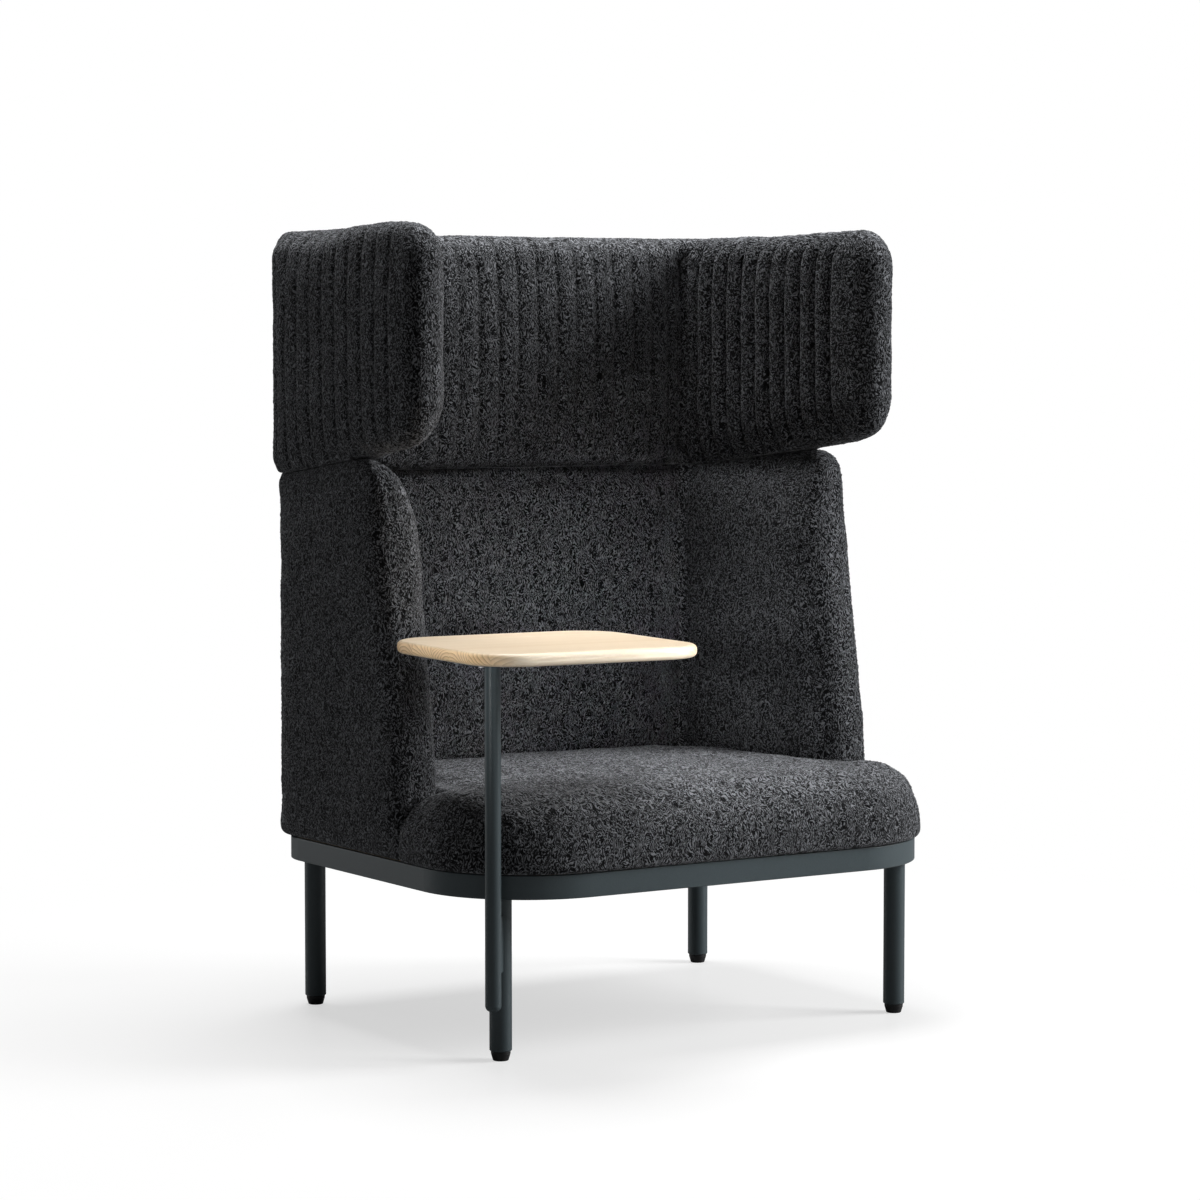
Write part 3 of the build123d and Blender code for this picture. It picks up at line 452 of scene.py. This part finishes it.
def foam_block(name, node, boards, slot_fill, voxel):
    """Copy a soft solid, close its pockets with its boards, and remesh the whole as one skin."""
    copies = []
    for part in (*boards, node):
        copy = bpy.data.objects.new(name, frame["nodes"][part].data.copy())
        scene.collection.objects.link(copy)
        copies.append(copy)
    for low, high in slot_fill:
        middle = [(a + b) / 2 for a, b in zip(low, high)]
        size = [b - a for a, b in zip(low, high)]
        bpy.ops.mesh.primitive_cube_add(size=1, location=middle, scale=size)
        fill = bpy.context.object
        bpy.ops.object.transform_apply(location=True, rotation=True, scale=True)
        copies.insert(0, fill)
    choose(*copies)
    bpy.ops.object.join()
    block = bpy.context.object
    block.name = name
    block.data.name = name
    block.data.materials.clear()
    bpy.ops.object.mode_set(mode="EDIT")
    bpy.ops.mesh.select_all(action="SELECT")
    bpy.ops.mesh.remove_doubles(threshold=merge_distance)
    bpy.ops.object.mode_set(mode="OBJECT")
    use_modifier(block, "REMESH", mode="VOXEL", voxel_size=voxel)
    return block


def smooth(block, rounds):
    """Soften the block's edges."""
    use_modifier(block, "SMOOTH", factor=0.5, iterations=rounds)


def even_out(block, travel, rounds):
    """Even a travel out between neighbouring points, so that a firm pad keeps no creases."""
    pairs = np.empty(len(block.data.edges) * 2, np.int32)
    block.data.edges.foreach_get("vertices", pairs)
    near, far = pairs.reshape(-1, 2).T
    amount = len(travel)
    meeting = np.bincount(pairs, minlength=amount)[:, None]
    for _ in range(rounds):
        around = [
            np.bincount(near, travel[far, axis], amount) + np.bincount(far, travel[near, axis], amount)
            for axis in range(3)
        ]
        travel = (travel + np.stack(around, axis=1) / meeting) / 2
    return travel


def swell(block, *holds):
    """Take the block in a little, let its cover swell as cloth except where it is held, and subdivide it."""
    free = 1 - np.maximum.reduce(holds)
    free_cover = block.vertex_groups.new(name="free_cover")
    for number, share in enumerate(free):
        if share > 0:
            free_cover.add([number], share, "REPLACE")
    start = points_of(block) - normals_of(block) * take_in * free[:, None]
    set_points(block, start)
    cloth = block.modifiers.new("swell", "CLOTH")
    cloth.settings.use_pressure = True
    cloth.settings.uniform_pressure_force = 4
    cloth.settings.effector_weights.gravity = 0
    cloth.settings.quality = 4
    cloth.settings.mass = 0.3
    cloth.settings.tension_stiffness = 25
    cloth.settings.compression_stiffness = 25
    cloth.settings.shear_stiffness = 12
    cloth.settings.bending_stiffness = 2
    cloth.collision_settings.use_collision = False
    cloth.collision_settings.use_self_collision = False
    for step in range(1, swell_frames + 1):
        scene.frame_set(step)
    shaped = block.evaluated_get(bpy.context.evaluated_depsgraph_get())
    travel = points_of(shaped) - start
    block.modifiers.remove(cloth)
    scene.frame_set(1)
    reach = np.linalg.norm(travel, axis=1)
    travel *= (np.minimum(reach, swell_cap) / np.maximum(reach, 1e-9))[:, None]
    set_points(block, start + even_out(block, travel, evening_rounds) * free[:, None])
    use_modifier(block, "SUBSURF", levels=1, render_levels=1)


def raise_nap(block, nap_height, pucker_height):
    """Give the free cover its soft puckers and its uneven nap."""
    for texture, height in ((pucker, pucker_height), (nap, nap_height)):
        use_modifier(
            block, "DISPLACE", texture=texture, texture_coords="LOCAL", strength=height, mid_level=0.5,
            vertex_group="free_cover",
        )
    block.vertex_groups.clear()


def shade_creases(block, creases):
    """Keep how deep in a crease each point lies, for the painted crease shade in the cover's finish."""
    shades = block.data.attributes.new("painted_crease_shade", "FLOAT", "POINT")
    shades.data.foreach_set("value", creases.astype(np.float32))


def finish_pad(block, node):
    """Let a finished pad stand for its solid and ride on the chair."""
    choose(block)
    bpy.ops.object.shade_smooth()
    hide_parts(node)
    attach(block, "chair")
    block.data.materials.append(boucle)


# Seat cushion

deck_level = 0.300
ear_fullness = 0.010

seat = foam_block("seat_pad", "seat_cushion", boards=[], slot_fill=[], voxel=0.006)
smooth(seat, 4)
points = points_of(seat)
x, y, z = points.T
ears = ramp(abs(x), 0.34, 0.43) * (1 - ramp(y, -0.20, -0.13)) * ramp(z, 0.35, 0.40)
points += normals_of(seat) * ear_fullness * ears[:, None]
set_points(seat, points)
resting = 1 - ramp(z, deck_level, 0.345)
against_back = ramp(y, 0.20, 0.27)
against_arms = ramp(y, -0.16, -0.10) * ramp(abs(x), 0.31, 0.35)
swell(seat, resting, against_back, against_arms)
raise_nap(seat, nap_height=0.004, pucker_height=0.008)
finish_pad(seat, "seat_cushion")


# The parting between the arm tops and the hood

top_level = 0.893
bend_line = 0.2645
rise = tan(radians(7.2))
parting_gap = 0.0006
press_reach = 0.01
lip_hang = 0.008


def parting_height(depth):
    """Height of the parting at a depth: level across the back, and rising to the front."""
    return top_level + rise * np.maximum(bend_line - depth, 0)


def lip_droop(across):
    """How far the hood's lip hangs below the parting at a place across the back, most near the wings."""
    return lip_hang * ramp(abs(across), 0.0, 0.28)


def press_at_parting(points, meeting, level):
    """Press the faces that meet at the parting flat, behind the arm fronts and behind the hood's lip."""
    x, y, z = points.T
    lip = (1 - ramp(y, 0.290, 0.298)) * (1 - ramp(abs(x), 0.30, 0.34))
    pressed = meeting * ramp(y, -0.01, 0.05) * (1 - lip)
    z += pressed * np.clip(level - z, -press_reach, press_reach)


def parting_shade(points, depth_in, reach):
    """How deep in the parting's crease across the back a point lies, between 0 and 1, for painted shade."""
    x, y, z = points.T
    across_back = ramp(y, 0.20, 0.24) * (1 - ramp(y, 0.300, 0.306)) * (1 - ramp(abs(x), 0.33, 0.36))
    return hollow(np.maximum(depth_in, 0), reach) * across_back


def on_inner_back(points, face, fade_start, fade_end):
    """Where a point lies on the inner face of the back, between 0 and 1."""
    x, y, z = points.T
    near_face = ramp(y, 0.18, 0.26) * (1 - ramp(y, face + 0.006, face + 0.03))
    return near_face * (1 - ramp(abs(x), fade_start, fade_end))


def quarter_round(depth_in, across, down):
    """How far an elliptic quarter round has drawn its face back at a depth in from its edge."""
    share = np.clip(1 - depth_in / down, 0, 1)
    return across * (1 - np.sqrt(1 - share * share))


def round_over(points, where, depth_in, inner, outer, old_inner, old_outer, across, down, least):
    """Draw the inner faces of arms or wings back from an edge, along an elliptic quarter round."""
    x = points[:, 0]
    was_inner = inner + quarter_round(depth_in, old_inner, old_inner)
    was_outer = outer - quarter_round(depth_in, old_outer, old_outer)
    now_inner = inner + quarter_round(depth_in, across, down)
    share = np.maximum(was_outer - now_inner, least) / np.maximum(was_outer - was_inner, 0.01)
    moved = was_outer - (was_outer - abs(x)) * np.minimum(share, 1)
    x[:] = np.where(where, np.sign(x) * moved, x)


# Back and arms

shell_side = 0.462
shell_edge = 0.016
shell_inner_edge = 0.046
arm_front = -0.119
arm_inner_front = 0.377
arm_inner_rear = 0.350
arm_foot_forward = 0.008
back_face = 0.2865
back_recline = 0.014
shell_stay_slot = ((-0.24, 0.300, 0.66), (0.24, 0.327, 0.8925))

shell = foam_block(
    "back_and_arms", "back_shell", boards=["back_board", "arm_board_left", "arm_board_right"],
    slot_fill=[shell_stay_slot], voxel=0.006,
)
points = points_of(shell)
x, y, z = points.T
front_share = 1 - ramp(y, -0.03, 0.27)
inner_line = straight_line(y, arm_front, arm_inner_front, back_face, arm_inner_rear)
on_arms = (y < back_face - 0.01) & (abs(x) > inner_line - 0.004)
round_over(
    points, on_arms, parting_height(y) - z, inner_line, shell_side, shell_inner_edge, shell_edge,
    across=shell_inner_edge + 0.037 * front_share, down=shell_inner_edge + 0.104 * front_share, least=0.012,
)
on_back = on_inner_back(points, back_face, 0.27, arm_inner_rear)
y += on_back * back_recline * (ramp(z, 0.5, 0.9) - ramp(z, 0.43, 0.52))
set_points(shell, points)
smooth(shell, 6)

points = points_of(shell)
x, y, z = points.T
arm_foot = (1 - ramp(z, deck_level, 0.330)) * (1 - ramp(y, arm_front + 0.01, arm_front + 0.05))
y -= arm_foot_forward * arm_foot
set_points(shell, points)
resting = 1 - ramp(z, 0.310, 0.345)
under_hood = ramp(z - parting_height(y), -0.05, -0.008) * ramp(y, -0.02, 0.06)
against_seat = (1 - ramp(z, 0.38, 0.42)) * (1 - ramp(abs(x), 0.40, 0.44)) * (1 - ramp(y, 0.30, 0.33))
swell(shell, resting, under_hood, against_seat)

points = points_of(shell)
x, y, z = points.T
facing_up = ramp(normals_of(shell)[:, 2], 0.5, 0.9) * ramp(z, 0.85, 0.87)
press_at_parting(points, facing_up, parting_height(y))
set_points(shell, points)
raise_nap(shell, nap_height=0.004, pucker_height=0.005)
points = points_of(shell)
x, y, z = points.T
# Painted shade on the shell's top edge, in the crease under the hood's lip
shade_creases(shell, parting_shade(points, parting_height(y) - z - lip_droop(x), 0.006))
finish_pad(shell, "back_shell")


# Hood

hood_side = 0.470
hood_edge = 0.026
hood_inner_edge = 0.042
hood_rear = 0.3635
hood_corner = 0.108
hood_face = 0.2875
wing_tip = -0.183
wing_inner_tip = 0.400
wing_inner_root = 0.352
crown = 0.016
crown_level = 1.12
crown_reach = 0.2
lip_round = 0.018
lip_height = 0.024
hood_stay_slot = ((-0.24, 0.300, 0.895), (0.24, 0.327, 1.13))

hood = foam_block(
    "winged_hood", "hood", boards=["hood_board", "wing_board_left", "wing_board_right"],
    slot_fill=[hood_stay_slot], voxel=0.005,
)
smooth(hood, 4)
points = points_of(hood)
x, y, z = points.T
front_share = 1 - ramp(y, -0.10, 0.25)
inner_line = straight_line(y, wing_tip, wing_inner_tip, hood_face, wing_inner_root)
above_parting = z - parting_height(y)
on_wings = (y < hood_face - 0.01) & (abs(x) > inner_line - 0.006)
round_over(
    points, on_wings, above_parting, inner_line, hood_side, hood_inner_edge, hood_edge,
    across=hood_inner_edge + 0.006 * front_share, down=hood_inner_edge + 0.030 * front_share, least=0.014,
)

# The inner back is crowned and overhangs the parting in a rounded lip
on_back = on_inner_back(points, hood_face, 0.25, wing_inner_root)
from_crown = np.clip((z - crown_level) / crown_reach, -0.35, 1)
y += on_back * (crown * from_crown ** 2 - crown + quarter_round(above_parting, lip_round, lip_height))
z -= on_back * lip_droop(x) * (1 - ramp(above_parting, 0.0, 0.06))

# Fuller lower corners on the wing tips, a crowned top, and softer top corners at the rear
tip = 1 - ramp(y, wing_tip, wing_tip + 0.07)
low_corner = tip * (1 - ramp(above_parting, 0.0, 0.05))
top_crown = (1 - ramp(y, -0.10, 0.12)) * (1 - tip) * ramp(z, 1.19, 1.28)
rear_round = ramp(z, 1.25, 1.29) * ramp(abs(x), 0.42, 0.465) * ramp(y, 0.0, 0.2)
x -= np.sign(x) * 0.007 * rear_round
y -= 0.004 * low_corner + 0.007 * rear_round
z += 0.006 * top_crown - 0.008 * low_corner - 0.008 * rear_round
set_points(hood, points)
smooth(hood, 6)

points = points_of(hood)
x, y, z = points.T
on_shell = (1 - ramp(z - parting_height(y), 0.008, 0.05)) * ramp(y, -0.02, 0.06)
swell(hood, on_shell)
raise_nap(hood, nap_height=0.0025, pucker_height=0.004)


# Sewn tucks: lapped ones on the inner wings, shallow ones across the inner back, fine seams all round outside

wing_tucks = 10
wing_pitch = 0.0384
wing_stretch = 473.0 / 470.5
wing_depth = 0.0075
top_lean = 0.016
back_pitch = 2 * wing_inner_root / 18
back_share_of_depth = 0.18
outer_tucks = 42
outer_margin = 0.072
outer_depth = 0.0022
outer_reach = 0.005
last_seam_reach = 0.004
# Width of the painted shade in each seam's crease
crease_shade_reach = 0.003
lap = 0.18


def tuck(share):
    """Height over a lapped tuck, from its steep rear edge to the next seam, between 0 and 1."""
    rising = np.sin(np.clip(share / lap, 0, 1) * pi / 2)
    falling = 1 - np.clip((share - lap) / (1 - lap), 0, 1) ** 2.2
    return np.minimum(rising, falling)


def crease_shade(share, pitch):
    """How deep in a seam's crease a point lies, between 0 and 1, for painted shade."""
    return hollow(np.minimum(share, 1 - share) * pitch, crease_shade_reach)


points = points_of(hood)
normals = normals_of(hood)
x, y, z = points.T
hood_top = z.max()
inner_side = (abs(x) > 0.33) * (1 - ramp(abs(x), hood_side - 0.045, hood_side - 0.02))
inward = inner_side * ramp(-normals[:, 0] * np.sign(x), -0.25, 0.25) * ramp(normals[:, 2], -0.95, -0.6)
forward = ramp(-normals[:, 1], 0.0, 0.4) * (abs(x) < wing_inner_root + 0.004) * ramp(y, 0.24, 0.26)

over_top = ramp(z, hood_top - 0.055, hood_top)
steps = ((hood_face - y) * wing_stretch - top_lean * over_top) / wing_pitch
wing_share = np.where(x > 0, steps % 1, 1 - steps % 1)
on_wing = (steps > -0.5) & (steps < wing_tucks)
last_seam = hollow((steps - wing_tucks) * wing_pitch, last_seam_reach) * (steps >= wing_tucks)
wing_relief = np.maximum(np.where(on_wing, 1 - tuck(wing_share), 0), last_seam) * inward
# Painted shade in the seam creases on the inner wings, across the inner back and on the outer faces
wing_crease_shade = crease_shade(wing_share, wing_pitch) * inward * (steps > -0.5) * (steps < wing_tucks + 0.5)

back_share = ((x + wing_inner_root) / back_pitch) % 1
back_relief = back_share_of_depth * (1 - tuck(back_share)) * forward
back_crease_shade = 0.35 * crease_shade(back_share, back_pitch) * forward

straight = hood_rear - hood_corner - wing_tip
arc = hood_corner * pi / 2
rear_half = hood_side - hood_corner
whole = 2 * (straight + arc + rear_half)
from_corner = abs(x) - rear_half
past_straight = y - (hood_rear - hood_corner)
on_arc = straight + hood_corner * np.arctan2(past_straight, from_corner)
on_rear = straight + arc - from_corner
along = np.where(past_straight < 0, y - wing_tip, np.where(from_corner > 0, on_arc, on_rear))
outer_pitch = (whole - 2 * outer_margin) / outer_tucks
outer_share = abs(((along - outer_margin) / outer_pitch + 0.5) % 1 - 0.5)
outward = np.maximum(normals[:, 0] * np.sign(x), normals[:, 1])
outer_face = ramp(outward, 0.3, 0.7) * (along > outer_margin - 0.5 * outer_pitch)
outer_relief = hollow(outer_share * outer_pitch, outer_reach) * outer_face
outer_crease_shade = 0.4 * crease_shade(outer_share, outer_pitch) * outer_face

depth = np.maximum(wing_depth * np.maximum(wing_relief, back_relief), outer_depth * outer_relief)
points -= normals * depth[:, None]
facing_down = ramp(-normals[:, 2], 0.5, 0.9) * (1 - ramp(z - parting_height(y), 0.02, 0.03))
press_at_parting(points, facing_down, parting_height(y) + parting_gap)
set_points(hood, points)
# Painted shade in the crease under the hood's lip, kept with the seam creases
lip_crease_shade = parting_shade(points, z - parting_height(y), 0.009)
shade_creases(hood, np.maximum.reduce([wing_crease_shade, back_crease_shade, outer_crease_shade, lip_crease_shade]))
finish_pad(hood, "hood")
